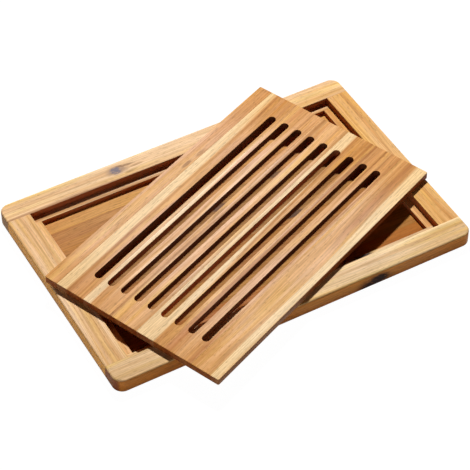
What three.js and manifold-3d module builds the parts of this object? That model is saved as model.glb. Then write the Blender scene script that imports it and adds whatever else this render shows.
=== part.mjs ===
// Bread board with a crumb catcher: a shallow wooden tray and the loose slotted board that lies on it.
// Millimetres. +X runs along the tray and +Z is up. The origin is the middle of the tray's underside.

import * as THREE from 'three';
import { mergeVertices } from 'three/addons/utils/BufferGeometryUtils.js';
import Module from 'manifold-3d';

const wasm = await Module();
wasm.setup();

// Tray frame, seen from above
const trayLength = 480;
const trayWidth = 320;
const frameWidth = 30; // width of the top face of each frame piece
const ledgeWidth = 10; // how far the ledge stands in from that face
const trayCornerRadius = 13;
const trayEdgeRound = 2.5;

// Tray section, from the table up to the rim
const floorThickness = 5;
const wellDepth = 6; // from the ledge down to the floor
const recessDepth = 9; // from the rim down to the ledge

// Floor of the crumb well
const floorRebateWidth = 6; // how far the floor reaches under the frame
const floorPlay = 0.5; // room for the floor to swell in its rebate, on each side
const floorStaveCount = 7;
const floorEdgeStaveWidth = 25.5; // the floor's front and back staves are narrow ones

// Dowels across the corner joints
const dowelDiameter = 8;
const dowelLength = 40;
const dowelSpacing = 12;
const dowelChamfer = 1;
const dowelGlueGap = 0.15; // between a dowel and its hole, all round
const dowelEndGap = 1; // between a dowel's end and the bottom of its hole

// Slotted board, sized to drop into the tray's recess
const boardEndPlay = 1.5; // at each short side of the recess
const boardSidePlay = 0.75; // at each long side of the recess
const boardProud = 0.5; // how far its top stands above the rim when it lies in the recess
const boardCornerRadius = 2;
const boardEdgeRound = 0.8;
const staveGlueLine = 0.1;

// Slots, spread evenly between the board's long sides
const slotCount = 9;
const slotsInStave = 2;
const slotWidth = 10;
const slotEndMargin = 35.5;
const slotSideMarginShare = 2.2; // of the distance from slot to slot
const backStaveShare = 0.43; // of the wood behind the last slot

// Where the slotted board lies on the tray: turned, and moved towards the front
const boardTurn = 22.9;
const boardShift = 17.8;
const boardRestGap = 0.3;

// How far a cutter runs past the face that it opens
const overrun = 1;

// Fineness of the round shapes
const cornerSteps = 10;
const edgeSteps = 4;
const slotEndSteps = 14;
const dowelSides = 20;

// Sizes that follow
const trayHeight = floorThickness + wellDepth + recessDepth;
const ledgeHeight = floorThickness + wellDepth;
const recessLength = trayLength - 2 * frameWidth;
const recessWidth = trayWidth - 2 * frameWidth;
const wellLength = recessLength - 2 * ledgeWidth;
const wellWidth = recessWidth - 2 * ledgeWidth;
const rebateLength = wellLength + 2 * floorRebateWidth;
const rebateWidth = wellWidth + 2 * floorRebateWidth;
const floorWidth = rebateWidth - 2 * floorPlay;
const floorStaveWidth = (floorWidth - 2 * floorEdgeStaveWidth) / (floorStaveCount - 2);
const boardLength = recessLength - 2 * boardEndPlay;
const boardWidth = recessWidth - 2 * boardSidePlay;
const boardThickness = recessDepth + boardProud;
const slotLength = boardLength - 2 * slotEndMargin;
const slotPitch = (boardWidth - slotWidth) / (slotCount - 1 + 2 * slotSideMarginShare);
const slotSideMargin = slotSideMarginShare * slotPitch;

// A closed geometry as a solid that can be cut and joined
function solidFrom(geometry) {
  geometry.deleteAttribute('normal');
  geometry.deleteAttribute('uv');
  const merged = mergeVertices(geometry);
  return new wasm.Manifold(new wasm.Mesh({
    numProp: 3,
    vertProperties: Float32Array.from(merged.attributes.position.array),
    triVerts: Uint32Array.from(merged.index.array),
  }));
}

// A solid back as a geometry that a mesh can show
function geometryFrom(solid) {
  const { numProp, vertProperties, triVerts } = solid.getMesh();
  const geometry = new THREE.BufferGeometry();
  geometry.setAttribute('position', new THREE.BufferAttribute(Float32Array.from(vertProperties), numProp));
  geometry.setIndex(new THREE.BufferAttribute(Uint32Array.from(triVerts), 1));
  geometry.computeVertexNormals();
  return geometry;
}

// A named piece of wood in its own colour
function piece(name, geometry, color, roughness) {
  const material = new THREE.MeshStandardMaterial({ color, roughness, metalness: 0 });
  const mesh = new THREE.Mesh(geometry, material);
  mesh.name = name;
  return mesh;
}

// A block between two corners
function block(low, high) {
  const geometry = new THREE.BoxGeometry(high[0] - low[0], high[1] - low[1], high[2] - low[2]);
  geometry.translate((low[0] + high[0]) / 2, (low[1] + high[1]) / 2, (low[2] + high[2]) / 2);
  return geometry;
}

// A block centred on the Z axis that cuts from one height to another
function cutter(length, width, bottom, top) {
  return solidFrom(block([-length / 2, -width / 2, bottom], [length / 2, width / 2, top]));
}

// The outline of a rectangle with rounded corners
function roundedRectangle(length, width, radius) {
  const x = length / 2;
  const y = width / 2;
  const shape = new THREE.Shape();
  shape.moveTo(radius - x, -y);
  shape.absarc(x - radius, radius - y, radius, -Math.PI / 2, 0);
  shape.absarc(x - radius, y - radius, radius, 0, Math.PI / 2);
  shape.absarc(radius - x, y - radius, radius, Math.PI / 2, Math.PI);
  shape.absarc(radius - x, radius - y, radius, Math.PI, 3 * Math.PI / 2);
  return shape;
}

// A flat slab on the XY plane with rounded corners and rounded top and bottom edges
function slab(length, width, height, radius, edgeRound) {
  const round = Math.min(edgeRound, radius, height / 2);
  const geometry = new THREE.ExtrudeGeometry(roundedRectangle(length, width, radius), {
    depth: height - 2 * round,
    bevelThickness: round,
    bevelSize: round,
    bevelOffset: -round,
    bevelSegments: edgeSteps,
    curveSegments: cornerSteps,
  });
  geometry.translate(0, 0, round);
  return solidFrom(geometry);
}

// A cylinder with chamfered ends along Y, with its middle at a point
function pin(diameter, length, chamfer, x, y, z) {
  const radius = diameter / 2;
  const end = length / 2;
  const profile = [
    new THREE.Vector2(0, -end),
    new THREE.Vector2(radius - chamfer, -end),
    new THREE.Vector2(radius, chamfer - end),
    new THREE.Vector2(radius, end - chamfer),
    new THREE.Vector2(radius - chamfer, end),
    new THREE.Vector2(0, end),
  ];
  const geometry = new THREE.LatheGeometry(profile, dowelSides);
  geometry.translate(x, y, z);
  return geometry;
}

// The places of the dowels: two side by side across each corner joint
function dowelPlaces() {
  const places = [];
  for (const [side, back] of [['front', -1], ['back', 1]]) {
    for (const [end, right] of [['left', -1], ['right', 1]]) {
      for (const [row, outwards] of [['inner', -1], ['outer', 1]]) {
        places.push({
          name: `dowel_${side}_${end}_${row}`,
          x: right * (recessLength / 2 + frameWidth / 2 + outwards * dowelSpacing / 2),
          y: back * recessWidth / 2,
          z: trayHeight / 2,
        });
      }
    }
  }
  return places;
}

// The four frame pieces. The long rails run to the ends of the tray and carry its corners. The end rails
// butt against them, and the ledges of the end rails fit between the ledges of the long ones.
function framePieces() {
  let frame = slab(trayLength, trayWidth, trayHeight, trayCornerRadius, trayEdgeRound)
    .subtract(cutter(recessLength, recessWidth, ledgeHeight, trayHeight + overrun))
    .subtract(cutter(wellLength, wellWidth, -overrun, trayHeight + overrun))
    .subtract(cutter(rebateLength, rebateWidth, -overrun, floorThickness));
  const holeDiameter = dowelDiameter + 2 * dowelGlueGap;
  const holeLength = dowelLength + 2 * dowelEndGap;
  for (const { x, y, z } of dowelPlaces()) {
    frame = frame.subtract(solidFrom(pin(holeDiameter, holeLength, dowelChamfer, x, y, z)));
  }
  const beyond = trayLength + overrun;
  const betweenRails = cutter(beyond, recessWidth, -overrun, trayHeight + overrun)
    .subtract(cutter(recessLength, recessWidth + overrun, -2 * overrun, trayHeight + 2 * overrun))
    .add(cutter(beyond, wellWidth, -overrun, trayHeight + overrun));
  const leftHalf = solidFrom(block([-beyond, -beyond, -beyond], [0, beyond, beyond]));
  const frontHalf = solidFrom(block([-beyond, -beyond, -beyond], [beyond, 0, beyond]));
  const rails = frame.subtract(betweenRails);
  const ends = frame.intersect(betweenRails);
  return [
    piece('back_rail', geometryFrom(rails.subtract(frontHalf)), 0xe3bf88, 0.55),
    piece('front_rail', geometryFrom(rails.intersect(frontHalf)), 0xe2c190, 0.55),
    piece('left_end_rail', geometryFrom(ends.intersect(leftHalf)), 0xe0bb85, 0.55),
    piece('right_end_rail', geometryFrom(ends.subtract(leftHalf)), 0xdba962, 0.55),
  ];
}

// The dowels themselves
function dowels() {
  return dowelPlaces().map(({ name, x, y, z }) => (
    piece(name, pin(dowelDiameter, dowelLength, dowelChamfer, x, y, z), 0xdcc49a, 0.7)
  ));
}

// Where the floor's staves meet, from its front edge to its back edge
function floorStaveEdges() {
  const edges = [-floorWidth / 2];
  for (let joint = 0; joint < floorStaveCount - 1; joint += 1) {
    edges.push(floorEdgeStaveWidth - floorWidth / 2 + joint * floorStaveWidth);
  }
  edges.push(floorWidth / 2);
  return edges;
}

// The floor of the crumb well: staves along the tray, held in the rebate under the frame
function floorStaves() {
  const length = rebateLength - 2 * floorPlay;
  const edges = floorStaveEdges();
  const colors = [0xc98f4e, 0xc4813f, 0xc98c50, 0xbf8048, 0xc48850, 0xc78d55, 0xd0a063];
  return edges.slice(1).map((back, index) => {
    const geometry = block([-length / 2, edges[index], 0], [length / 2, back, floorThickness]);
    return piece(`floor_stave_${index + 1}`, geometry, colors[index % colors.length], 0.6);
  });
}

// A through slot with round ends along X
function slot(y) {
  const radius = slotWidth / 2;
  const straight = slotLength / 2 - radius;
  const shape = new THREE.Shape();
  shape.moveTo(-straight, -radius);
  shape.absarc(straight, 0, radius, -Math.PI / 2, Math.PI / 2);
  shape.absarc(-straight, 0, radius, Math.PI / 2, 3 * Math.PI / 2);
  const geometry = new THREE.ExtrudeGeometry(shape, {
    depth: boardThickness + 2 * overrun,
    bevelEnabled: false,
    curveSegments: slotEndSteps,
  });
  geometry.translate(0, y, -overrun);
  return solidFrom(geometry);
}

// Where the board's staves meet, from its front edge to its back edge. The joints run in the middle of the
// wood between two slots, apart from the one at the narrow back stave.
function boardStaveEdges(firstSlot) {
  const edges = [-boardWidth / 2];
  for (let index = 0; index < slotCount; index += slotsInStave) {
    edges.push(firstSlot + (index - 1 / 2) * slotPitch);
  }
  edges.push(boardWidth / 2 - backStaveShare * slotSideMargin, boardWidth / 2);
  return edges;
}

// The slotted board's staves
function boardStaves() {
  const firstSlot = -slotPitch * (slotCount - 1) / 2;
  let board = slab(boardLength, boardWidth, boardThickness, boardCornerRadius, boardEdgeRound);
  for (let index = 0; index < slotCount; index += 1) {
    board = board.subtract(slot(firstSlot + index * slotPitch));
  }
  const edges = boardStaveEdges(firstSlot);
  const colors = [0xe6bd86, 0xd79f5f, 0xecc48e, 0xd8a468, 0xd9a06a, 0xe2b27c, 0xd7a062];
  return edges.slice(1).map((back, index) => {
    const isBack = index === edges.length - 2;
    const near = edges[index] + (index === 0 ? -overrun : staveGlueLine / 2);
    const far = back + (isBack ? overrun : -staveGlueLine / 2);
    const span = boardLength / 2 + overrun;
    const stave = solidFrom(block([-span, near, -overrun], [span, far, boardThickness + overrun]));
    const geometry = geometryFrom(board.intersect(stave));
    return piece(`board_stave_${index + 1}`, geometry, colors[index % colors.length], 0.5);
  });
}

const tray = new THREE.Group();
tray.add(...framePieces(), ...dowels(), ...floorStaves());

const slottedBoard = new THREE.Group();
slottedBoard.add(...boardStaves());
slottedBoard.position.set(0, -boardShift, trayHeight + boardRestGap);
slottedBoard.rotation.z = THREE.MathUtils.degToRad(boardTurn);

const breadBoard = new THREE.Group();
breadBoard.add(tray, slottedBoard);

export default breadBoard;
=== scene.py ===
"""An oiled acacia bread board: a crumb tray, and the loose slotted board that lies askew on its rim."""

import math
from collections import namedtuple

import bmesh
import bpy
from mathutils import Matrix, Vector


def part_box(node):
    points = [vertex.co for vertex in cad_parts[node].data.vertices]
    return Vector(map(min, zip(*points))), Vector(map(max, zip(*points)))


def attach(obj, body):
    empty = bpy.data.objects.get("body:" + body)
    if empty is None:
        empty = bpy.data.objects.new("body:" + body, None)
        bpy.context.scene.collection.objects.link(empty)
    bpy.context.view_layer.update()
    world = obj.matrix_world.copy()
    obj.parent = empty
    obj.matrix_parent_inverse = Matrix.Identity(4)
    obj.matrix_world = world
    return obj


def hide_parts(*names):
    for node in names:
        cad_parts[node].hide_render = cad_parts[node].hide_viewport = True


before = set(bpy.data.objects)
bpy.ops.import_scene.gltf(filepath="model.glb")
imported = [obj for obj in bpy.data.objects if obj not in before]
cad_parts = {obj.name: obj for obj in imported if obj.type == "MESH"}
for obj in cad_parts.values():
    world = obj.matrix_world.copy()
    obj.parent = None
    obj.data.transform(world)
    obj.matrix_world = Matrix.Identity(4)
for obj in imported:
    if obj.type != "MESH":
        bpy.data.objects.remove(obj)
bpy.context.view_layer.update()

mm = 0.001

# How the slotted board lies on the tray, and what is cut through it
board_stave_count = 7
board_staves = [f"board_stave_{number}" for number in range(1, board_stave_count + 1)]
board_turn = math.radians(22.9)
board_corner_radius = 2 * mm
board_edge_round = 0.8 * mm
slot_count = 9
slot_width = 10 * mm
slot_end_margin = 35.5 * mm
slot_side_margin_share = 2.2  # of the distance from slot to slot
slot_rim_round = 0.6 * mm

# The tray
floor_stave_count = 7
floor_staves = [f"floor_stave_{number}" for number in range(1, floor_stave_count + 1)]
frame_width = 30 * mm
rim_round = 0.8 * mm
ledge_width = 10 * mm
ledge_depth = 9 * mm  # from the rim down to the ledge
ledge_lip_round = 0.6 * mm
dowel_names = [
    f"dowel_{side}_{end}_{row}"
    for side in ("front", "back")
    for end in ("left", "right")
    for row in ("inner", "outer")
]

# Fineness of the shapes
overrun = 1 * mm  # how far a cutter reaches past what it cuts
edge_steps = 5
corner_steps = 8
slot_end_steps = 28
smooth_angle = math.radians(35)  # edges sharper than this show as edges
flat_angle = math.radians(0.5)  # faces that turn less than this are one flat face
merge_distance = 0.001 * mm

# The camera, found from the corners and edges that the photograph shows. Its turns are in degrees.
camera_place = (-0.81845, -1.47835, 1.75847)
camera_turn = (43.7416, 0.2987, -29.3324)
camera_lens = 153.68  # mm, on a sensor 36 mm wide

# The lights. Distances and sizes are in metres, and powers in watts.
lamp_direction = Vector((0.35, 0.64, 1)).normalized()
lamp_distance = 3.6
lamp_size = 0.25
lamp_power = 150
card_direction = Vector((-0.75, -0.66, 0.14)).normalized()
card_distance = 2.5
card_size = 1
card_power = 11
sky_strength = 0.016
sky_tint = "#ffa382"
white = "#ffffff"
paper_color = "#f4f4f4"
floor_size = 8
floor_glow = 1.06  # with the share below, it shows lit paper as white
floor_shadow_share = 0.07  # of the shadow that the tray casts on real paper


def linear(color):
    """A colour written as sRGB hex, as the linear values that shaders work in."""
    parts = [int(color[place:place + 2], 16) / 255 for place in (1, 3, 5)]
    return [part / 12.92 if part <= 0.04045 else ((part + 0.055) / 1.055) ** 2.4 for part in parts] + [1]


def add(tree, kind, inputs=None, **settings):
    """Adds a node with its settings and inputs, each a value or a socket to link. Gives its first output."""
    node = tree.nodes.new(kind)
    for name, value in settings.items():
        setattr(node, name, value)
    for key, value in (inputs or {}).items():
        open_sockets = [socket for socket in node.inputs if socket.enabled]
        socket = node.inputs[key] if isinstance(key, int) else next(s for s in open_sockets if s.name == key)
        if isinstance(value, bpy.types.NodeSocket):
            tree.links.new(value, socket)
        else:
            socket.default_value = value
    return next((socket for socket in node.outputs if socket.enabled), None)


# The woods

# Node kinds that come up often
MATH = "ShaderNodeMath"
VECTOR = "ShaderNodeVectorMath"
MAP = "ShaderNodeMapRange"
MAPPING = "ShaderNodeMapping"
NOISE = "ShaderNodeTexNoise"
MIX = "ShaderNodeMix"
JOIN = "ShaderNodeCombineXYZ"
SPLIT = "ShaderNodeSeparateXYZ"

# A darker or paler line along the grain. left and right are its places across the grain at the plank's two
# ends, and it fades out over its width to either side. It runs from start to stop along the grain, by default
# past both ends. All its sizes are in mm.
past_ends = 400
Streak = namedtuple("Streak", "left right width color strength start stop", defaults=(-past_ends, past_ends))

# A branch that the plank was cut through, round across its own axis. One that runs "deep" into the plank lies
# aside across the grain, and one that runs "across" it lies aside by its height above the table.
Knot = namedtuple("Knot", "along aside length width color strength axis", defaults=("deep",))

# Pale wood from under the bark, beyond a line along the plank. side is 1 where it lies above that line, and
# -1 where it lies below. soft is half the width of its border.
Sapwood = namedtuple("Sapwood", "left right side soft color")

# A random figure in the wood, whose spots measure size in mm along, across and into the grain. It is 0 where
# the noise is below low, and 1 where it is above high. step is added to the wood's own seed, so that the
# figures of a plank differ, and layers is how many finer layers of noise lie on the first.
Figure = namedtuple("Figure", "size low high step layers", defaults=(0,))
wander_figure = Figure((230, 38, 38), 0.25, 0.75, 0)
tone_figure = Figure((170, 16, 16), 0.35, 0.7, 9, 1)
thirst_figure = Figure((120, 9, 9), 0.42, 0.7, 3, 1)
knot_edge_figure = Figure((5, 1.8, 1.8), 0.15, 0.5, 21, 2)

# Fibres and pores. Real ones are a third as wide: these are drawn as coarse as they need to show.
fibre_figure = Figure((48, 1.3, 1.3), 0.25, 0.75, 13, 1)
pore_figure = Figure((7, 0.8, 0.8), 0.64, 0.76, 17)

# Growth bands, and the finer lines among them. The first size is out from the middle of the tree, as a share
# of the band spacing, the second is in mm along the grain, and the third goes by the wood's seed.
band_figure = Figure((1, 560, 1), 0.32, 0.68, 0, 2)
line_figure = Figure((1 / 2.2, 330, 1), 0.52, 0.72, 5, 1)

# How far one seed's place in the noise is from the next
seed_shift = (7.31, 3.17, 5.73)

# A value or a share that goes evenly from one end to the other
Ramp = namedtuple("Ramp", "start end")

# The way of the grain
middle_value = 0.5  # of a figure, where the grain runs straight
grain_bend = 5  # mm that the grain wanders across a plank
knot_push = 0.85  # how far a knot pushes the grain aside, as a share of the distance from its middle
streak_fade = 45  # mm over which a streak begins and ends, on either side of its start and stop

# The colours. Shares are of the colour that is laid over the wood.
deep_tone_share = 0.5
rosy_oil = "#fffbff"
golden_oil = "#fff9d9"
line_color = "#e6cfae"
sapwood_bands = 0.92  # how bright sapwood stays in a dark growth band
streak_gaps = 0.7  # how strong a streak stays between the dark growth bands
fibre_brightness = Ramp(1.25, 0.93)  # on the brightest fibres, and on the darkest
pore_darkness = 0.28
knot_edge = Ramp(0.1, 0.65)  # nearness to a knot's middle at which its colour begins, and is full

# The oil at the planks' ends, and painted sheen: the ends turn darker and more golden, so that the middle
# of each plank shows paler, as under a broad glare of the lamp
sheen_and_soak_length = 110  # mm from the ends where the darkening begins
sheen_and_soak_full = 15  # mm from the ends where it is full
pale_middle_shift = 7  # mm further in at the right end that the darkening reaches, so that the pale middle lies left of the middle
sapwood_resists = 0.5  # the share of that colour which sapwood doesn't take

# The sides. A face is end grain, or upright, by how much it looks along the grain, or up. Upright faces
# and the walls cut by the router take deeper colours, partly from the oil and partly as painted shade.
end_facing = Ramp(0.5, 0.85)
upright_facing = Ramp(0.75, 0.3)
side_cover = Ramp(0.97, 0.82)  # how much of the sides' colour, partly painted shade, covers plain wood, and deep-toned wood
# How much of the cut walls' colour, which is partly painted shade, covers the wood
routed_and_shade_cover = 0.85
router_margin = 1  # mm in from the board's outline, or out from the recess's, within which walls count as cut by the router

# The surface
satin_roughness = Ramp(0.38, 0.48)  # on the brightest fibres, and on the darkest
end_roughness = 0.14  # how much rougher end grain is
pore_depth = 2  # times the height of the fibres
bump_strength = 0.5
bump_height = 0.05 * mm
oil_ior = 1.48
oil_specular = 0.05  # low, because sanded wood scatters most of its gloss


def pattern(tree, vector, figure, seed):
    """A random figure, from 0 to 1, over coordinates in mm."""
    place = [(seed + figure.step) * shift for shift in seed_shift]
    scale = [1 / part for part in figure.size]
    fitted = add(tree, MAPPING, {"Vector": vector, "Location": place, "Scale": scale})
    noise = add(tree, NOISE, {"Vector": fitted, "Scale": 1, "Detail": figure.layers})
    return add(
        tree, MAP, {"Value": noise, "From Min": figure.low, "From Max": figure.high},
        interpolation_type="SMOOTHSTEP",
    )


def spaced(figure, spacing):
    """A figure of growth bands, for a tree whose bands lie spacing mm apart."""
    out, along, apart = figure.size
    return figure._replace(size=(out * spacing, along, apart))


def knot_nearness(tree, along, aside, knot):
    """How near a knot is, 1 at its middle and about 0 two widths away, and how far aside of it a point is."""
    far_along = add(tree, MATH, {0: along, 1: knot.along}, operation="SUBTRACT")
    far_aside = add(tree, MATH, {0: aside, 1: knot.aside}, operation="SUBTRACT")
    reach = add(tree, JOIN, {"X": far_along, "Y": far_aside})
    shares = add(tree, VECTOR, {0: reach, 1: (1 / knot.length, 1 / knot.width, 0)}, operation="MULTIPLY")
    square = add(tree, VECTOR, {0: shares, 1: shares}, operation="DOT_PRODUCT")
    falling = add(tree, MATH, {0: square, 1: -1}, operation="MULTIPLY")
    near = add(tree, MATH, {0: falling}, operation="EXPONENT")
    return near, far_aside


def drifting_line(tree, along, across, half_length, left, right):
    """How far across the grain a point lies above a line that drifts along the plank."""
    line = add(
        tree, MAP,
        {"Value": along, "From Min": -half_length, "From Max": half_length, "To Min": left, "To Max": right},
    )
    return add(tree, MATH, {0: across, 1: line}, operation="SUBTRACT")


def streak_mask(tree, along, across, half_length, streak):
    """The strength of a streak, which fades at its sides and at its two ends."""
    distance = drifting_line(tree, along, across, half_length, streak.left, streak.right)
    away = add(tree, MATH, {0: distance}, operation="ABSOLUTE")
    side = add(
        tree, MAP, {"Value": away, "From Max": streak.width, "To Min": streak.strength, "To Max": 0},
        interpolation_type="SMOOTHSTEP",
    )
    begun = add(
        tree, MAP,
        {"Value": along, "From Min": streak.start - streak_fade, "From Max": streak.start + streak_fade},
        interpolation_type="SMOOTHSTEP",
    )
    going = add(
        tree, MAP,
        {
            "Value": along, "From Min": streak.stop - streak_fade, "From Max": streak.stop + streak_fade,
            "To Min": 1, "To Max": 0,
        },
        interpolation_type="SMOOTHSTEP",
    )
    length = add(tree, MATH, {0: begun, 1: going}, operation="MULTIPLY")
    return add(tree, MATH, {0: side, 1: length}, operation="MULTIPLY")


def oiled_wood(
    name, origin, turn, half_length, light, dark, deep_tone, pith, spacing, seed,
    # The default side and cut-wall colours are partly painted shade
    sapwood=None, streaks=(), knots=(), side="#cf9a58", end="#9c6540", routed_walls_and_shade=("#aa5c36", "#aa5c36"),
    routed_within=(0, 0), sheen_and_soak_color="#fdf6ea", lining=0.5,
):
    """Wood that is planed along the grain, sanded and oiled: growth bands round the middle of the tree, fine
    fibres, short dark pores, a satin surface, deeper-coloured sides, and end grain that drinks the oil. The
    sides and the walls cut by the router are deeper partly from the oil and partly as painted shade, and near
    the ends the wood darkens, partly from oil soaking in and partly as painted sheen that leaves the middle
    paler."""
    material = bpy.data.materials.new(name)
    material.use_nodes = True
    tree = material.node_tree
    tree.nodes.clear()

    # Millimetres along, across and into the grain
    coordinates = add(tree, "ShaderNodeTexCoord").node
    plank = add(
        tree, MAPPING,
        {
            "Vector": coordinates.outputs["Object"], "Location": origin, "Rotation": (0, 0, turn),
            "Scale": (mm, mm, mm),
        },
        vector_type="TEXTURE",
    )
    along, straight_across, deep = add(tree, SPLIT, {"Vector": plank}).node.outputs
    wander = pattern(tree, plank, wander_figure, seed)
    bend = add(tree, MATH, {0: wander, 1: middle_value}, operation="SUBTRACT")
    across = add(tree, MATH, {0: bend, 1: grain_bend, 2: straight_across}, operation="MULTIPLY_ADD")
    marks = []
    for knot in knots:
        near, far_aside = knot_nearness(tree, along, across if knot.axis == "deep" else deep, knot)
        marks.append((knot, near))
        if knot.axis == "deep":
            pushed = add(tree, MATH, {0: near, 1: far_aside}, operation="MULTIPLY")
            across = add(tree, MATH, {0: pushed, 1: -knot_push, 2: across}, operation="MULTIPLY_ADD")
    grain = add(tree, JOIN, {"X": along, "Y": across, "Z": deep})

    # Growth bands, by the distance from the middle of the tree
    from_pith = add(tree, VECTOR, {0: grain, 1: (0, pith[0], pith[1])}, operation="SUBTRACT")
    flat = add(tree, VECTOR, {0: from_pith, 1: (0, 1, 1)}, operation="MULTIPLY")
    radius = add(tree, VECTOR, {0: flat}, operation="LENGTH")
    rings = add(tree, JOIN, {"X": radius, "Y": along, "Z": seed})
    bands = pattern(tree, rings, spaced(band_figure, spacing), seed)
    lines = pattern(tree, rings, spaced(line_figure, spacing), seed)
    tone = pattern(tree, grain, tone_figure, seed)
    thirst = pattern(tree, grain, thirst_figure, seed)
    wood = add(tree, MIX, {"Factor": bands, "A": linear(light), "B": linear(dark)}, data_type="RGBA")
    warmth = add(tree, MATH, {0: tone, 1: deep_tone_share}, operation="MULTIPLY")
    wood = add(tree, MIX, {"Factor": warmth, "A": wood, "B": linear(deep_tone)}, data_type="RGBA")

    # Where the fibres lie open the oil goes in deeper, and the wood turns from rosy to golden
    oil = add(
        tree, MIX, {"Factor": thirst, "A": linear(rosy_oil), "B": linear(golden_oil)}, data_type="RGBA",
    )
    wood = add(tree, MIX, {"Factor": 1, "A": wood, "B": oil}, data_type="RGBA", blend_type="MULTIPLY")

    paler = 0
    if sapwood:
        beyond = drifting_line(tree, along, across, half_length, sapwood.left, sapwood.right)
        border = sapwood.soft * sapwood.side
        paler = add(
            tree, MAP, {"Value": beyond, "From Min": -border, "From Max": border},
            interpolation_type="SMOOTHSTEP",
        )
        fade = add(tree, MAP, {"Value": bands, "To Min": 1, "To Max": sapwood_bands})
        cream = add(tree, VECTOR, {0: linear(sapwood.color)[:3], "Scale": fade}, operation="SCALE")
        wood = add(tree, MIX, {"Factor": paler, "A": wood, "B": cream}, data_type="RGBA")

    for streak in streaks:
        mask = streak_mask(tree, along, across, half_length, streak)
        uneven = add(tree, MAP, {"Value": bands, "To Min": streak_gaps, "To Max": 1})
        factor = add(tree, MATH, {0: mask, 1: uneven}, operation="MULTIPLY")
        wood = add(tree, MIX, {"Factor": factor, "A": wood, "B": linear(streak.color)}, data_type="RGBA")

    # Painted sheen, and oil that soaks in further near the ends: there the wood turns darker and more golden,
    # which leaves the middle paler, and sapwood takes less of that colour
    shifted_along = add(tree, MATH, {0: along, 1: pale_middle_shift}, operation="ADD")
    reach = add(tree, MATH, {0: shifted_along}, operation="ABSOLUTE")
    sheen_and_soak_mask = add(
        tree, MAP,
        {"Value": reach, "From Min": half_length - sheen_and_soak_length, "From Max": half_length - sheen_and_soak_full},
        interpolation_type="SMOOTHSTEP",
    )
    taking = add(tree, MATH, {0: paler, 1: -sapwood_resists, 2: 1}, operation="MULTIPLY_ADD")
    sheen_and_soak_mask = add(tree, MATH, {0: sheen_and_soak_mask, 1: taking}, operation="MULTIPLY")
    wood = add(
        tree, MIX, {"Factor": sheen_and_soak_mask, "A": wood, "B": linear(sheen_and_soak_color)},
        data_type="RGBA", blend_type="MULTIPLY",
    )

    # Which faces are end grain, and which are upright
    facing = coordinates.outputs["Normal"]
    grain_way = (math.cos(turn), math.sin(turn), 0)
    endwise = add(tree, VECTOR, {0: facing, 1: grain_way}, operation="DOT_PRODUCT")
    upwards = add(tree, VECTOR, {0: facing, 1: (0, 0, 1)}, operation="DOT_PRODUCT")
    ends = add(tree, MATH, {0: endwise}, operation="ABSOLUTE")
    tops = add(tree, MATH, {0: upwards}, operation="ABSOLUTE")
    end_mask = add(
        tree, MAP, {"Value": ends, "From Min": end_facing.start, "From Max": end_facing.end},
        interpolation_type="SMOOTHSTEP",
    )
    upright = add(
        tree, MAP,
        {
            "Value": tops, "From Min": upright_facing.end, "From Max": upright_facing.start,
            "To Min": 1, "To Max": 0,
        },
        interpolation_type="SMOOTHSTEP",
    )

    # Sides and end grain are deeper in colour than the top, and the walls that a router cut are reddest. End
    # grain is darker of itself. The sides, and the cut walls of the recess and the slots, are darker and
    # redder partly from the oil and partly as painted shade, where faces turn from the lamp or lie in a
    # hollow.
    outside = add(tree, MIX, {"Factor": end_mask, "A": linear(side), "B": linear(end)}, data_type="RGBA")
    covered = add(tree, MAP, {"Value": tone, "To Min": side_cover.start, "To Max": side_cover.end})
    outside = add(tree, MIX, {"Factor": covered, "A": wood, "B": outside}, data_type="RGBA")
    endways = add(tree, MATH, {0: along}, operation="ABSOLUTE")
    lengthwise = add(tree, MATH, {0: endways, 1: routed_within[0]}, operation="LESS_THAN")
    sideways = add(tree, MATH, {0: straight_across}, operation="ABSOLUTE")
    crosswise = add(tree, MATH, {0: sideways, 1: routed_within[1]}, operation="LESS_THAN")
    cut = add(tree, MATH, {0: lengthwise, 1: crosswise}, operation="MULTIPLY")
    routed_and_shade = add(
        tree, MIX, {"Factor": paler, "A": linear(routed_walls_and_shade[0]), "B": linear(routed_walls_and_shade[1])}, data_type="RGBA",
    )
    routed_and_shade = add(tree, MIX, {"Factor": routed_and_shade_cover, "A": wood, "B": routed_and_shade}, data_type="RGBA")
    walls = add(tree, MIX, {"Factor": cut, "A": outside, "B": routed_and_shade}, data_type="RGBA")
    wood = add(tree, MIX, {"Factor": upright, "A": wood, "B": walls}, data_type="RGBA")

    # Lines, fibres and pores
    fibres = pattern(tree, grain, fibre_figure, seed)
    pores = pattern(tree, grain, pore_figure, seed)
    lined = add(tree, MATH, {0: lines, 1: lining}, operation="MULTIPLY")
    wood = add(
        tree, MIX, {"Factor": lined, "A": wood, "B": linear(line_color)},
        data_type="RGBA", blend_type="MULTIPLY",
    )
    brightness = add(
        tree, MAP, {"Value": fibres, "To Min": fibre_brightness.start, "To Max": fibre_brightness.end},
    )
    brightness = add(tree, MATH, {0: pores, 1: -pore_darkness, 2: brightness}, operation="MULTIPLY_ADD")
    wood = add(tree, VECTOR, {0: wood, "Scale": brightness}, operation="SCALE")

    for knot, near in marks:
        heart = add(
            tree, MAP, {"Value": near, "From Min": knot_edge.start, "From Max": knot_edge.end},
            interpolation_type="SMOOTHSTEP",
        )
        ragged = pattern(tree, plank, knot_edge_figure, seed)
        mask = add(tree, MATH, {0: heart, 1: ragged}, operation="MULTIPLY")
        mask = add(tree, MATH, {0: mask, 1: knot.strength}, operation="MULTIPLY")
        wood = add(tree, MIX, {"Factor": mask, "A": wood, "B": linear(knot.color)}, data_type="RGBA")

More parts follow.
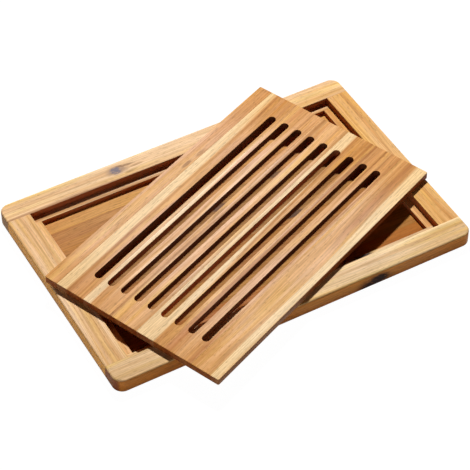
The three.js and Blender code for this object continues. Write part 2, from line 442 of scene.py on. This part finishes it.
    # Satin oil, rougher on the end grain
    satin = add(
        tree, MAP, {"Value": fibres, "To Min": satin_roughness.start, "To Max": satin_roughness.end},
    )
    roughness = add(tree, MATH, {0: end_mask, 1: end_roughness, 2: satin}, operation="MULTIPLY_ADD")
    height = add(tree, MATH, {0: pores, 1: -pore_depth, 2: fibres}, operation="MULTIPLY_ADD")
    bump = add(
        tree, "ShaderNodeBump", {"Height": height, "Strength": bump_strength, "Distance": bump_height},
    )
    shader = add(
        tree, "ShaderNodeBsdfPrincipled",
        {
            "Base Color": wood, "Roughness": roughness, "IOR": oil_ior, "Specular IOR Level": oil_specular,
            "Normal": bump,
        },
    )
    add(tree, "ShaderNodeOutputMaterial", {"Surface": shader})
    return material


# Oiled acacia. To the eye it is tan to orange-brown heartwood with darker growth bands and streaks, cream
# sapwood with a sharp border, and a few dark knots. pith is where the middle of the tree was, in mm across
# and into the grain, and spacing is how far apart its growth bands are.

# What the oil and the router leave on all the staves of the slotted board, with painted light: its sides and
# slot walls are darker partly as painted shade, and its ends darker and more golden partly as painted sheen,
# which leaves the middle paler. The second colour of the cut walls is that of sapwood.
board_oil_and_painted_light = dict(
    side="#7f3c10", end="#7d3d18", routed_walls_and_shade=("#6a3527", "#b96a40"), sheen_and_soak_color="#f3e2b8",
)

# The staves of the slotted board, from front to back. Places across the grain are in mm from its middle.
board_woods = [
    dict(
        light="#e7bd8f", dark="#d6a977", deep_tone="#d3a15c", pith=(-190, -45), spacing=8, seed=1,
        sapwood=Sapwood(-120.5, -114.8, side=-1, soft=1.6, color="#f8d9aa"),
        streaks=[
            Streak(-111, -109, 8, "#a4683a", 0.95, start=50),
            Streak(-118, -115, 2.2, "#b07742", 0.6, start=90),
            Streak(-95, -94, 4, "#c2853c", 0.5, stop=-70),
        ],
    ),
    dict(
        light="#ecc59f", dark="#d7a97f", deep_tone="#d5a05f", pith=(-20, -60), spacing=7, seed=2,
        streaks=[
            Streak(-52.8, -52.6, 4.5, "#ab6f3f", 0.95),
            Streak(-53, -53, 4, "#9a5f2c", 0.5, start=90),
            Streak(-57, -62, 8, "#b5682c", 0.7, stop=-130),
            Streak(-62, -59, 6, "#ac7440", 0.6, start=130),
            Streak(-69, -68, 1.8, "#99602f", 0.7, start=110),
            Streak(-76, -75, 1.8, "#9d6431", 0.7, start=120),
            Streak(-88, -87, 4.5, "#a96e32", 0.75, start=-60),
            Streak(-88, -88, 4, "#c4874a", 0.6, stop=-110),
        ],
    ),
    dict(
        light="#e6bb8c", dark="#cc9b61", deep_tone="#c48d4c", pith=(-120, -30), spacing=7, seed=3,
        sapwood=Sapwood(-37, -23, side=1, soft=1.8, color="#f4d5a9"),
        streaks=[
            Streak(-39, -25, 2.4, "#ad7136", 0.8, start=-40),
            Streak(-48.5, -48.5, 3, "#ecbb85", 0.7, start=-150, stop=50),
            Streak(-48.5, -48.5, 3.5, "#ac7235", 0.85, start=70),
            Streak(-42, -42, 4, "#b37c42", 0.5, start=120),
        ],
    ),
    dict(
        light="#f0cba7", dark="#e0b692", deep_tone="#dbab71", pith=(90, -70), spacing=8, seed=4,
        streaks=[
            Streak(27.8, 27.8, 5, "#b78a64", 1),
            Streak(27.5, 27.5, 4, "#a8743f", 0.6, start=80),
            Streak(-8.5, -8.5, 4.5, "#c29568", 0.9),
        ],
    ),
    dict(
        light="#eac3a1", dark="#d5a981", deep_tone="#d39f65", pith=(-40, -50), spacing=7, seed=5,
        sapwood=Sapwood(57, 71, side=1, soft=1.5, color="#f9dcb6"),
        streaks=[
            Streak(60, 57, 5, "#bd8040", 0.7, start=160),
            Streak(50, 50, 3, "#c48d55", 0.6),
            Streak(52, 52, 22, "#b07743", 0.5, start=165),
            Streak(32, 32, 4, "#f0c49b", 0.7, stop=-90),
            Streak(46, 46, 3, "#f6cfab", 0.95, start=-170, stop=60),
        ],
        knots=[Knot(-4, 32, 18, 3.6, "#a07550", 0.7)],
    ),
    dict(
        light="#dfb38d", dark="#cc9d73", deep_tone="#cf9c66", pith=(20, -40), spacing=7, seed=6,
        sapwood=Sapwood(97, 101.5, side=1, soft=1.8, color="#f2d1a1"),
        streaks=[
            Streak(94, 102, 4.5, "#96571f", 0.85, stop=-60),
            Streak(94, 99, 2.6, "#b27845", 0.6, start=-60),
            Streak(71.5, 71.5, 5, "#e9c496", 0.9, start=-165, stop=165),
        ],
    ),
    dict(
        light="#e4b78f", dark="#d4a77a", deep_tone="#d09d63", pith=(200, -30), spacing=7, seed=7,
        streaks=[
            Streak(112.5, 112, 3.6, "#b78048", 0.7, start=50),
            Streak(123, 123, 6, "#efc68f", 0.8, stop=-70),
            Streak(116, 116, 6, "#bb8350", 0.65, start=90),
        ],
        knots=[Knot(40, 114.5, 9, 2.4, "#8f6340", 0.7), Knot(66, 113.5, 9, 2.2, "#9a7048", 0.6)],
    ),
]

# The tray's rails. Places across the grain are in mm from the tray's middle, towards the back on the two long
# rails, and towards the left on the two end rails. Their side colours are deeper partly from the oil and
# partly as painted shade, most on the front rail, whose outer face turns from the lamp.
rail_woods = {
    "back_rail": dict(
        light="#f0d2a6", dark="#e1be90", deep_tone="#dfb882", pith=(230, -60), spacing=9, seed=11,
        streaks=[
            Streak(143, 143, 2.4, "#b48c58", 0.65, start=-235, stop=-95),
            Streak(134, 134, 10, "#cd9c60", 0.75, start=-180),
            Streak(122, 122, 7, "#a66e2f", 0.95),
            # A dark band on the ledge along the wall: oil pooled in the corner, and painted shade where the
            # wall's shadow falls
            Streak(129, 129, 3.6, "#8a4a22", 0.75),
        ],
        knots=[
            Knot(-84, 146, 14, 7.5, "#a98a72", 0.8),
            Knot(-86, 146, 6.5, 4, "#746e7a", 0.9),
            Knot(-72, 149, 11, 1.9, "#7d5636", 0.6),
            Knot(-58, 144, 9, 1.8, "#8f6540", 0.5),
            Knot(-69, 137, 8, 1.9, "#85603d", 0.55),
        ],
        side="#cf9e5e", end="#957355",
    ),
    "front_rail": dict(
        light="#ecd1a6", dark="#dabd90", deep_tone="#d2b07c", pith=(-80, -50), spacing=9, seed=12,
        streaks=[
            Streak(-153, -153, 7, "#cba56b", 0.6),
            Streak(-133, -133, 6, "#f6dcb0", 0.9, start=20),
        ],
        knots=[
            Knot(101, 6, 24, 11, "#6f421f", 0.75, axis="across"),
            Knot(108, 9, 12, 6.5, "#27110b", 1, axis="across"),
            Knot(95, 2.5, 14, 6.5, "#27110b", 1, axis="across"),
        ],
        side="#bf7224", end="#7c4026",
    ),
    "left_end_rail": dict(
        light="#efd0a6", dark="#dfb888", deep_tone="#daae76", pith=(330, -30), spacing=8, seed=13,
        streaks=[
            Streak(217, 217, 8, "#cc9c5a", 0.65),
            Streak(205, 205, 7, "#d3a468", 0.75),
            Streak(226, 226, 2.4, "#c09455", 0.5),
        ],
        side="#d9962f",
    ),
    "right_end_rail": dict(
        light="#eac188", dark="#dcae70", deep_tone="#d6a45c", pith=(-300, -40), spacing=8, seed=14,
        streaks=[
            Streak(-230, -230, 3, "#bb7f3f", 0.6),
            Streak(-205, -205, 7, "#c68c4c", 0.75),
            Streak(-222, -219, 2.5, "#bf8443", 0.45),
        ],
        side="#cf9650",
    ),
}

# The floor's staves, from front to back. Each has one streak in its dark colour, which drifts across it, and
# the middle of its tree lies below it, to either side in turn.
floor_woods = [
    dict(light="#ab6d10", dark="#985808"),
    dict(light="#b07d34", dark="#9e6c24"),
    dict(light="#a8732f", dark="#966122"),
    # Dark spots on the floor, placed where they show through the slots
    dict(light="#a0743a", dark="#92652b", knots=[Knot(76, -17, 14, 5.5, "#4a3024", 0.85)]),
    dict(
        light="#a2763c", dark="#94672d",
        knots=[Knot(91, 56, 13, 5, "#5c3e2b", 0.7), Knot(2, 40, 14, 5, "#543626", 0.75)],
    ),
    dict(light="#bb884c", dark="#ac7840"),
    dict(light="#d1a45e", dark="#c69250"),
]
floor_streak = Streak(-6, -9, 5, None, 0.5)
floor_pith_aside = 90
floor_pith_height = -60
floor_spacing = 11
floor_lining = 0.3
floor_seed = 20

# Beech, which is paler and plainer than acacia, with fine bands close together
dowel_wood = dict(
    light="#dcc19a", dark="#cfae84", deep_tone="#cba878", pith=(0, -40), spacing=3, seed=40,
)
dowel_reach = 200  # mm from the tray's middle to past the dowels


# The shapes

def solid(name, rings):
    """A closed shape through rings of points, one above the other."""
    made = bmesh.new()
    loops = [[made.verts.new(point) for point in ring] for ring in rings]
    for lower, upper in zip(loops, loops[1:]):
        for index, corner in enumerate(lower):
            made.faces.new((lower[index - 1], corner, upper[index], upper[index - 1]))
    made.faces.new(reversed(loops[0]))
    made.faces.new(loops[-1])
    mesh = bpy.data.meshes.new(name)
    made.to_mesh(mesh)
    made.free()
    piece = bpy.data.objects.new(name, mesh)
    bpy.context.scene.collection.objects.link(piece)
    return piece


def arc_ring(middles, start, radius, steps, height):
    """An outline of round corners about the given middles, anticlockwise from a start angle."""
    turn = 2 * math.pi / len(middles)
    points = []
    for corner, (x, y) in enumerate(middles):
        for step in range(steps + 1):
            angle = start + (corner + step / steps) * turn
            points.append((x + radius * math.cos(angle), y + radius * math.sin(angle), height))
    return points


def board_ring(offset, height):
    """The board's outline, grown by an offset."""
    x = board_length / 2 - board_corner_radius
    y = board_width / 2 - board_corner_radius
    middles = [(x, y), (-x, y), (-x, -y), (x, -y)]
    return arc_ring(middles, 0, board_corner_radius + offset, corner_steps, height)


def slot_ring(offset, height):
    """A slot's outline, with half a circle at each end, grown by an offset."""
    x = slot_length / 2 - slot_width / 2
    return arc_ring([(x, 0), (-x, 0)], -math.pi / 2, slot_width / 2 + offset, slot_end_steps, height)


def square_ring(length, width, height):
    """The outline of a square-cornered opening."""
    x = length / 2
    y = width / 2
    return [(x, y, height), (-x, y, height), (-x, -y, height), (x, -y, height)]


def quarter(round_size):
    """The steps of a rounded edge: how far in from the side, and how far below the top."""
    angles = [step / edge_steps * math.pi / 2 for step in range(edge_steps + 1)]
    return [(round_size * (1 - math.cos(angle)), round_size * (1 - math.sin(angle))) for angle in angles]


def apply_modifiers(piece):
    """Leaves the piece as its modifiers shape it, as a plain mesh."""
    shaped = piece.evaluated_get(bpy.context.evaluated_depsgraph_get())
    mesh = bpy.data.meshes.new_from_object(shaped)
    piece.modifiers.clear()
    piece.data = mesh


def shade(piece):
    """Smooth over the round edges, sharp at the corners and even on the flats."""
    piece.data.polygons.foreach_set("use_smooth", [True] * len(piece.data.polygons))
    piece.data.set_sharp_from_angle(angle=smooth_angle)
    weights = piece.modifiers.new("even flats", "WEIGHTED_NORMAL")
    weights.keep_sharp = True
    apply_modifiers(piece)


def give_wood(piece, material):
    """Gives a piece its wood."""
    piece.data.materials.clear()
    piece.data.materials.append(material)


def put_in_place(piece, node, body, material):
    """Lets a finished piece stand for its CAD node."""
    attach(piece, body)
    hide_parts(node)
    give_wood(piece, material)


# The slotted board

def whole_board():
    """The board before it is cut: a slab with round corners, and edges rounded over above and below."""
    eased = quarter(board_edge_round)
    rings = [board_ring(-inwards, below) for inwards, below in reversed(eased)]
    rings += [board_ring(-inwards, board_thickness - below) for inwards, below in eased]
    return solid("whole_board", rings)


def slot_cutter():
    """What a router takes out for one slot: a bar with round ends that flares where it leaves the board."""
    eased = quarter(slot_rim_round)
    flare = [(slot_rim_round, -overrun)] + [(inwards, below) for inwards, below in reversed(eased)]
    rings = [slot_ring(offset, height) for offset, height in flare]
    rings += [slot_ring(offset, board_thickness - height) for offset, height in reversed(flare)]
    return solid("slot_cutter", rings)


def slotting_tree():
    """Geometry Nodes that cut a row of slots through a stave, and the identifiers of its inputs."""
    tree = bpy.data.node_groups.new("slots_through_a_stave", "GeometryNodeTree")
    kinds = {
        "Stave": "NodeSocketGeometry",
        "Slot Cutter": "NodeSocketObject",
        "Slot Count": "NodeSocketInt",
        "First Slot": "NodeSocketFloat",
        "Slot Pitch": "NodeSocketFloat",
        "Wood": "NodeSocketMaterial",
    }
    inputs = {
        name: tree.interface.new_socket(name=name, in_out="INPUT", socket_type=kind).identifier
        for name, kind in kinds.items()
    }
    tree.interface.new_socket(name="Slotted Stave", in_out="OUTPUT", socket_type="NodeSocketGeometry")
    given = add(tree, "NodeGroupInput").node.outputs
    first = add(tree, JOIN, {"Y": given["First Slot"]})
    step = add(tree, JOIN, {"Y": given["Slot Pitch"]})
    row = add(
        tree, "GeometryNodeMeshLine",
        {"Count": given["Slot Count"], "Start Location": first, "Offset": step},
        mode="OFFSET",
    )
    cutter = add(tree, "GeometryNodeObjectInfo", {"Object": given["Slot Cutter"]}).node.outputs["Geometry"]
    cutters = add(tree, "GeometryNodeInstanceOnPoints", {"Points": row, "Instance": cutter})
    slotted = add(
        tree, "GeometryNodeMeshBoolean", {"Mesh 1": given["Stave"], "Mesh 2": cutters},
        operation="DIFFERENCE", solver="EXACT",
    )
    whole = add(tree, "GeometryNodeRealizeInstances", {"Geometry": slotted})
    wooden = add(tree, "GeometryNodeSetMaterial", {"Geometry": whole, "Material": given["Wood"]})
    add(tree, "NodeGroupOutput", {"Slotted Stave": wooden})
    return tree, inputs


def stave_blank(name, front, back):
    """The part of the whole board between two lines along it. The outer staves keep the board's own side."""
    board = whole_board()
    made = bmesh.new()
    made.from_mesh(board.data)
    for place, away in ((front, -1), (back, 1)):
        if abs(place) > board_width / 2 - merge_distance:
            continue
        everything = made.verts[:] + made.edges[:] + made.faces[:]
        cut = bmesh.ops.bisect_plane(
            made, geom=everything, plane_co=(0, place, 0), plane_no=(0, away, 0), clear_outer=True,
        )
        edges = [item for item in cut["geom_cut"] if isinstance(item, bmesh.types.BMEdge)]
        bmesh.ops.edgeloop_fill(made, edges=edges)
    bmesh.ops.recalc_face_normals(made, faces=made.faces[:])
    made.to_mesh(board.data)
    made.free()
    board.name = name
    return board


def span(nodes, axis):
    """How far some of the board's CAD nodes reach along one of the board's own axes, from its middle."""
    to_board = board_place.inverted()
    vertices = [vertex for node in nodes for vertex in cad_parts[node].data.vertices]
    places = [(to_board @ vertex.co)[axis] for vertex in vertices]
    return min(places), max(places)


def make_board():
    """The seven staves of the slotted board, each with the slots that fall within it."""
    tree, inputs = slotting_tree()
    cutter = slot_cutter()
    half_length = board_length / 2 / mm
    half_width = board_width / 2 / mm
    for number, (node, wood) in enumerate(zip(board_staves, board_woods), start=1):
        front, back = span([node], 1)
        slots = [place for place in slot_places if front < place < back]
        material = oiled_wood(
            f"oiled acacia, board stave {number}", tuple(board_place.translation), board_turn, half_length,
            routed_within=(half_length - router_margin, half_width - router_margin), **board_oil_and_painted_light, **wood,
        )
        stave = stave_blank(f"slotted_stave_{number}", front, back)
        if slots:
            cutting = stave.modifiers.new("slots", "NODES")
            cutting.node_group = tree
            values = {
                "Slot Cutter": cutter, "Slot Count": len(slots), "First Slot": slots[0],
                "Slot Pitch": slot_pitch, "Wood": material,
            }
            for name, value in values.items():
                cutting[inputs[name]] = value
            apply_modifiers(stave)
        shade(stave)
        stave.data.transform(board_place)
        put_in_place(stave, node, "slotted_board", material)
    bpy.data.objects.remove(cutter)


# The tray

def rim_plug(name, length, width, top, round_size):
    """What a round-over bit takes off the top edge of a square opening, with the air beside and above it."""
    rings = [square_ring(length - overrun, width - overrun, top - round_size - overrun)]
    for inwards, below in quarter(round_size):
        out = 2 * inwards
        rings.append(square_ring(length + out, width + out, top - below))
    rings.append(square_ring(length + 2 * round_size, width + 2 * round_size, top + overrun))
    return solid(name, rings)


def rail_copy(node):
    """A CAD rail as one closed mesh whose flat faces are whole."""
    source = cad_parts[node].data
    mesh = bpy.data.meshes.new(f"eased_{node}")
    faces = [tuple(face.vertices) for face in source.polygons]
    mesh.from_pydata([vertex.co for vertex in source.vertices], [], faces)
    made = bmesh.new()
    made.from_mesh(mesh)
    bmesh.ops.remove_doubles(made, verts=made.verts[:], dist=merge_distance)
    bmesh.ops.dissolve_limit(made, angle_limit=flat_angle, verts=made.verts[:], edges=made.edges[:])
    made.to_mesh(mesh)
    made.free()
    rail = bpy.data.objects.new(f"eased_{node}", mesh)
    bpy.context.scene.collection.objects.link(rail)
    return rail


def make_rails():
    """The four frame pieces, with the rim and the lip of the ledge rounded over as a router leaves them."""
    plugs = [
        rim_plug("recess_plug", recess_length, recess_width, tray_height, rim_round),
        rim_plug(
            "well_plug", recess_length - 2 * ledge_width, recess_width - 2 * ledge_width,
            tray_height - ledge_depth, ledge_lip_round,
        ),
    ]
    half_recess = (recess_length / 2 / mm + router_margin, recess_width / 2 / mm + router_margin)
    for node, wood in rail_woods.items():
        rail = rail_copy(node)
        for plug in plugs:
            easing = rail.modifiers.new(plug.name, "BOOLEAN")
            easing.object = plug
            easing.operation = "DIFFERENCE"
            easing.solver = "EXACT"
        apply_modifiers(rail)
        shade(rail)
        is_end = node.endswith("end_rail")
        material = oiled_wood(
            f"oiled acacia, {node.replace('_', ' ')}", (0, 0, 0), math.pi / 2 if is_end else 0,
            (recess_width if is_end else tray_length) / 2 / mm,
            routed_within=half_recess[::-1] if is_end else half_recess, **wood,
        )
        put_in_place(rail, node, "tray", material)
    for plug in plugs:
        bpy.data.objects.remove(plug)


def dress_floor():
    """The floor's staves keep their CAD shape."""
    for number, (node, wood) in enumerate(zip(floor_staves, floor_woods), start=1):
        low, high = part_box(node)
        middle = (low.y + high.y) / 2 / mm
        streak = floor_streak._replace(
            left=middle + floor_streak.left, right=middle + floor_streak.right, color=wood["dark"],
        )
        material = oiled_wood(
            f"oiled acacia, floor stave {number}", (0, 0, 0), 0, high.x / mm, deep_tone=wood["dark"],
            pith=(middle + floor_pith_aside * (-1) ** number, floor_pith_height), spacing=floor_spacing,
            seed=floor_seed + number, lining=floor_lining, streaks=[streak], **wood,
        )
        give_wood(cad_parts[node], material)


def dress_dowels():
    """The dowels lie hidden in the rails, and keep their CAD shape."""
    material = oiled_wood("beech dowel", (0, 0, 0), math.pi / 2, dowel_reach, **dowel_wood)
    for node in dowel_names:
        give_wood(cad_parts[node], material)


# The studio

def seen_directly(tree):
    """1 for rays that show a surface to the camera, straight or through gloss or glass, and 0 for others."""
    path = add(tree, "ShaderNodeLightPath").node.outputs
    shown = add(tree, MATH, {0: path["Is Camera Ray"], 1: path["Is Glossy Ray"]}, operation="MAXIMUM")
    return add(tree, MATH, {0: shown, 1: path["Is Transmission Ray"]}, operation="MAXIMUM")


def make_floor():
    """Matt white paper, which shows as the photograph's white ground, with a faint shadow under the tray."""
    material = bpy.data.materials.new("white paper floor")
    material.use_nodes = True
    tree = material.node_tree
    tree.nodes.clear()
    paper = add(tree, "ShaderNodeBsdfDiffuse", {"Color": linear(paper_color)})
    glow = add(tree, "ShaderNodeEmission", {"Color": linear(white), "Strength": floor_glow})
    soft = add(tree, "ShaderNodeMixShader", {"Fac": floor_shadow_share, 1: glow, 2: paper})
    shown = add(tree, "ShaderNodeMixShader", {"Fac": seen_directly(tree), 1: paper, 2: soft})
    add(tree, "ShaderNodeOutputMaterial", {"Surface": shown})
    mesh = bpy.data.meshes.new("floor")
    mesh.from_pydata(square_ring(floor_size, floor_size, 0), [], [(0, 1, 2, 3)])
    mesh.materials.append(material)
    floor = bpy.data.objects.new("floor", mesh)
    bpy.context.scene.collection.objects.link(floor)


def make_sky():
    """A faint warm light from all round, such as pale wood sends back. Seen directly it is plain white."""
    world = bpy.data.worlds.new("studio")
    world.use_nodes = True
    tree = world.node_tree
    tree.nodes.clear()
    fill = add(tree, "ShaderNodeBackground", {"Color": linear(sky_tint), "Strength": sky_strength})
    backdrop = add(tree, "ShaderNodeBackground", {"Color": linear(white), "Strength": 1})
    light = add(tree, "ShaderNodeMixShader", {"Fac": seen_directly(tree), 1: fill, 2: backdrop})
    add(tree, "ShaderNodeOutputWorld", {"Surface": light})
    bpy.context.scene.world = world


def make_lamp(name, direction, distance, size, power):
    """A round light that faces the middle of the tray."""
    light = bpy.data.lights.new(name, "AREA")
    light.shape = "DISK"
    light.size = size
    light.energy = power
    lamp = bpy.data.objects.new(name, light)
    lamp.location = direction * distance
    lamp.rotation_euler = direction.to_track_quat("Z", "Y").to_euler()
    bpy.context.scene.collection.objects.link(lamp)


def make_camera():
    """The photograph's own view."""
    lens = bpy.data.cameras.new("camera")
    lens.lens = camera_lens
    camera = bpy.data.objects.new("camera", lens)
    camera.location = camera_place
    camera.rotation_euler = [math.radians(angle) for angle in camera_turn]
    bpy.context.scene.collection.objects.link(camera)
    bpy.context.scene.camera = camera


# Sizes that follow from the frame
rail_low, rail_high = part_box("back_rail")
tray_height = rail_high.z
tray_length = rail_high.x - rail_low.x
tray_width = 2 * rail_high.y
recess_length = tray_length - 2 * frame_width
recess_width = tray_width - 2 * frame_width
board_corners = [corner for node in board_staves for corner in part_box(node)]
board_low = Vector(min(corner[axis] for corner in board_corners) for axis in range(3))
board_high = Vector(max(corner[axis] for corner in board_corners) for axis in range(3))
board_thickness = board_high.z - board_low.z
board_middle = (board_low + board_high) / 2
board_lies = Matrix.Translation((board_middle.x, board_middle.y, board_low.z))
board_place = board_lies @ Matrix.Rotation(board_turn, 4, "Z")
board_length = 2 * span(board_staves, 0)[1]
board_width = 2 * span(board_staves, 1)[1]
slot_length = board_length - 2 * slot_end_margin
slot_pitch = (board_width - slot_width) / (slot_count - 1 + 2 * slot_side_margin_share)
slot_places = [(index - (slot_count - 1) / 2) * slot_pitch for index in range(slot_count)]

bpy.context.scene.view_settings.view_transform = "Standard"
make_camera()
make_board()
make_rails()
dress_floor()
dress_dowels()
make_floor()
make_sky()
make_lamp("softbox at the back", lamp_direction, lamp_distance, lamp_size, lamp_power)
make_lamp("low white card at the front", card_direction, card_distance, card_size, card_power)
